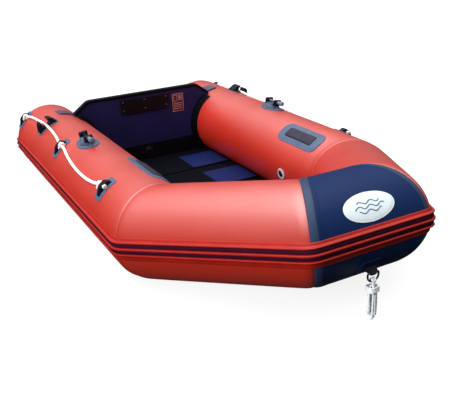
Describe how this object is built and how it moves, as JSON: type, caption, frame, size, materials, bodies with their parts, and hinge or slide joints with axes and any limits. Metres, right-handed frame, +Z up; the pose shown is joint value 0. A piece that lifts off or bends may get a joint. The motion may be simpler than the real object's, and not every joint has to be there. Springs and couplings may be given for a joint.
{
  "type": "inflatable dinghy",
  "caption": "Inflatable dinghy with an angled air-tube bow, slatted floor, wooden transom for an outboard, rowlocks, lifelines, and a tow ring with its rope.",
  "frame": {"origin": "middle of the boat's length and width, at the height of the ground under the two side tubes", "axes": "+Z up, -Y towards the bow, +X to port"},
  "size_m": [1.322, 2.421, 0.472],
  "materials": {
    "red_skin": "glossy coated fabric",
    "navy_skin": "glossy coated fabric",
    "strake_red": "satin",
    "strake_dark": "satin",
    "bottom_skin": "coated fabric",
    "slat_blue": "painted plywood",
    "board_navy": "painted plywood",
    "pad_dark": "matte",
    "black_rubber": "satin",
    "patch_grey": "coated fabric",
    "steel": "polished",
    "valve_grey": "satin",
    "badge_white": "coated fabric",
    "plate_red": "satin",
    "rope_white": "braided rope"
  },
  "bodies": {
    "hull": {"side_tube_starboard": "red_skin", "side_tube_port": "red_skin", "bow_quarter_starboard": "red_skin", "bow_quarter_port": "red_skin", "bow_nose_tube": "navy_skin", "rub_strake": "strake_red", "strake_inlay_upper": "strake_dark", "strake_inlay_lower": "strake_dark", "hull_bottom": "bottom_skin", "bow_bottom": "bottom_skin", "floor_slat_1": "slat_blue", "floor_slat_2": "slat_blue", "floor_slat_3": "slat_blue", "floor_slat_4": "slat_blue", "transom_board": "board_navy", "transom_edge_trim": "black_rubber", "transom_foot_strip": "black_rubber", "transom_flange_starboard": "black_rubber", "transom_flange_port": "black_rubber", "transom_holder_starboard": "patch_grey", "transom_holder_port": "patch_grey", "motor_pad_inner": "pad_dark", "motor_pad_outer": "black_rubber", "motor_pad_bolt_1": "steel", "motor_pad_bolt_2": "steel", "motor_pad_bolt_3": "steel", "motor_pad_bolt_4": "steel", "motor_pad_bolt_5": "steel", "motor_pad_bolt_6": "steel", "rating_plate": "plate_red", "drain_socket": "valve_grey", "rowlock_base_starboard": "patch_grey", "oar_holder_starboard": "black_rubber", "rowlock_base_port": "patch_grey", "oar_holder_port": "black_rubber", "lifeline_anchor_aft_starboard": "patch_grey", "lifeline_anchor_middle_starboard": "patch_grey", "lifeline_anchor_front_starboard": "patch_grey", "lifeline_anchor_aft_port": "patch_grey", "lifeline_anchor_middle_port": "patch_grey", "lifeline_anchor_front_port": "patch_grey", "lifeline_starboard": "rope_white", "lifeline_port": "rope_white", "seat_patch_starboard": "patch_grey", "seat_patch_port": "patch_grey", "valve_body_starboard": "valve_grey", "valve_body_port": "valve_grey", "bow_badge": "badge_white", "tow_tab": "black_rubber"},
    "rowlock_starboard": {"rowlock_fork_starboard": "black_rubber"},
    "rowlock_port": {"rowlock_fork_port": "black_rubber"},
    "oar_pin_starboard": {"rowlock_pin_starboard": "black_rubber"},
    "oar_pin_port": {"rowlock_pin_port": "black_rubber"},
    "valve_cap_starboard": {"valve_cap_starboard": "black_rubber"},
    "valve_cap_port": {"valve_cap_port": "black_rubber"},
    "drain_plug": {"drain_plug": "black_rubber"},
    "tow_ring": {"tow_ring": "steel", "painter_hank": "rope_white", "painter_tie": "black_rubber"}
  },
  "joints": [
    {"name": "rowlock_swivel_starboard", "type": "hinge", "parent": "hull", "child": "rowlock_starboard", "pos_m": [-0.4944, 0.19, 0.3682], "axis": [-0.1392, 0, 0.9903], "continuous": true},
    {"name": "rowlock_swivel_port", "type": "hinge", "parent": "hull", "child": "rowlock_port", "pos_m": [0.4944, 0.19, 0.3682], "axis": [0.1392, 0, 0.9903], "continuous": true},
    {"name": "oar_pin_slide_starboard", "type": "slide", "parent": "rowlock_starboard", "child": "oar_pin_starboard", "axis": [0, -1, 0], "range_m": [0, 0.075]},
    {"name": "oar_pin_slide_port", "type": "slide", "parent": "rowlock_port", "child": "oar_pin_port", "axis": [0, -1, 0], "range_m": [0, 0.075]},
    {"name": "valve_cap_lift_starboard", "type": "slide", "parent": "hull", "child": "valve_cap_starboard", "axis": [0.9925, 0, -0.1219], "range_m": [0, 0.04]},
    {"name": "valve_cap_lift_port", "type": "slide", "parent": "hull", "child": "valve_cap_port", "axis": [-0.9925, 0, -0.1219], "range_m": [0, 0.04]},
    {"name": "drain_plug_pull", "type": "slide", "parent": "hull", "child": "drain_plug", "axis": [0, -1, 0], "range_m": [0, 0.06]},
    {"name": "tow_ring_swing", "type": "hinge", "parent": "hull", "child": "tow_ring", "pos_m": [0, -1.191, 0.1839], "axis": [1, 0, 0], "range_deg": [-75, 35]}
  ]
}
